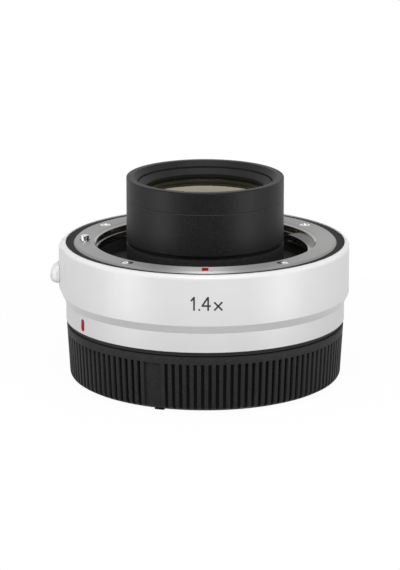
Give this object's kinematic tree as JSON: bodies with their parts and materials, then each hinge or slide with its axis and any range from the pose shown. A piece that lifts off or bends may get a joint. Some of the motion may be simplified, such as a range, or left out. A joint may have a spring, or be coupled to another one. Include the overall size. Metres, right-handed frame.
{
  "type": "camera teleconverter",
  "caption": "Short cylindrical camera teleconverter with a protruding front lens barrel, bayonet mounts, sliding release lever and lock pin, standing on its ribbed rear dust cap.",
  "frame": {"origin": "centre of the dust cap's base, on the optical axis", "axes": "+Z along the optical axis towards the front lens, -Y towards the front index mark, -X towards the release lever"},
  "size_m": [0.0738, 0.0712, 0.0513],
  "materials": {
    "white_paint": "satin",
    "black_anodised": "matte",
    "cast_frame": "matte",
    "mount_metal": "satin",
    "bright_screw": "polished",
    "spring_steel": "satin",
    "black_plastic": "matte",
    "trim_black": "matte",
    "seal_rubber": "matte",
    "coated_glass": "polished",
    "red_paint": "satin",
    "gold_contact": "polished",
    "circuit_green": "satin",
    "flex_amber": "satin"
  },
  "bodies": {
    "converter_body": {"rear_gasket": "seal_rubber", "rear_mount_ring": "mount_metal", "rear_mount_screws": "bright_screw", "rear_light_mask": "black_plastic", "rear_contact_block": "black_plastic", "rear_contact_pads": "gold_contact", "rear_contact_screws": "bright_screw", "rear_flex": "flex_amber", "housing_shell": "white_paint", "rear_index_mark": "red_paint", "main_frame": "cast_frame", "circuit_board": "circuit_green", "board_chips": "black_plastic", "board_screws": "bright_screw", "rear_cell": "black_anodised", "rear_cell_screws": "bright_screw", "lens_7": "coated_glass", "rear_spacer": "black_anodised", "lens_6": "coated_glass", "rear_retainer": "black_anodised", "front_barrel": "black_anodised", "barrel_screws": "bright_screw", "lens_1": "coated_glass", "lens_2": "coated_glass", "lens_3": "coated_glass", "lens_4": "coated_glass", "lens_5": "coated_glass", "middle_retainer": "black_anodised", "front_retainer": "black_anodised", "hood_ring": "black_anodised", "throat_liner": "black_plastic", "front_contact_block": "black_plastic", "front_contact_screws": "bright_screw", "contact_spring_comb": "gold_contact", "front_flex": "flex_amber", "bayonet_spring": "spring_steel", "front_mount_ring": "mount_metal", "front_mount_screws": "bright_screw", "front_index_mark": "red_paint", "front_trim_ring": "trim_black", "lever_spring": "spring_steel", "lock_pin_spring": "spring_steel", "lock_plate": "spring_steel", "lock_plate_screws": "bright_screw"},
    "dust_cap": {"rear_cap": "black_plastic"},
    "release_lever": {"lever_knob": "white_paint", "lever_slide": "cast_frame", "lever_screws": "bright_screw"},
    "locking_pin": {"lock_pin": "bright_screw"},
    "contact_set": {"contact_pins": "gold_contact"}
  },
  "joints": [
    {"name": "cap_turn", "type": "hinge", "parent": "converter_body", "child": "dust_cap", "pos_m": [0, 0, 0], "axis": [0, 0, 1], "range_deg": [-38, 0]},
    {"name": "lever_travel", "type": "slide", "parent": "converter_body", "child": "release_lever", "axis": [0, 0, -1], "range_m": [0, 0.0012], "stiffness_N_per_m": 500, "springref_m": -0.002, "deforming": ["lever_spring"]},
    {"name": "lock_pin_travel", "type": "slide", "parent": "converter_body", "child": "locking_pin", "axis": [0, 0, -1], "range_m": [0, 0.0012], "stiffness_N_per_m": 300, "springref_m": -0.003, "deforming": ["lock_pin_spring"]},
    {"name": "contact_travel", "type": "slide", "parent": "converter_body", "child": "contact_set", "axis": [0, 0, -1], "range_m": [0, 0.0006], "stiffness_N_per_m": 800, "springref_m": -0.0005, "deforming": ["contact_spring_comb"]}
  ],
  "couplings": [
    {"joint": "lock_pin_travel", "follows": "lever_travel", "ratio": 1}
  ]
}
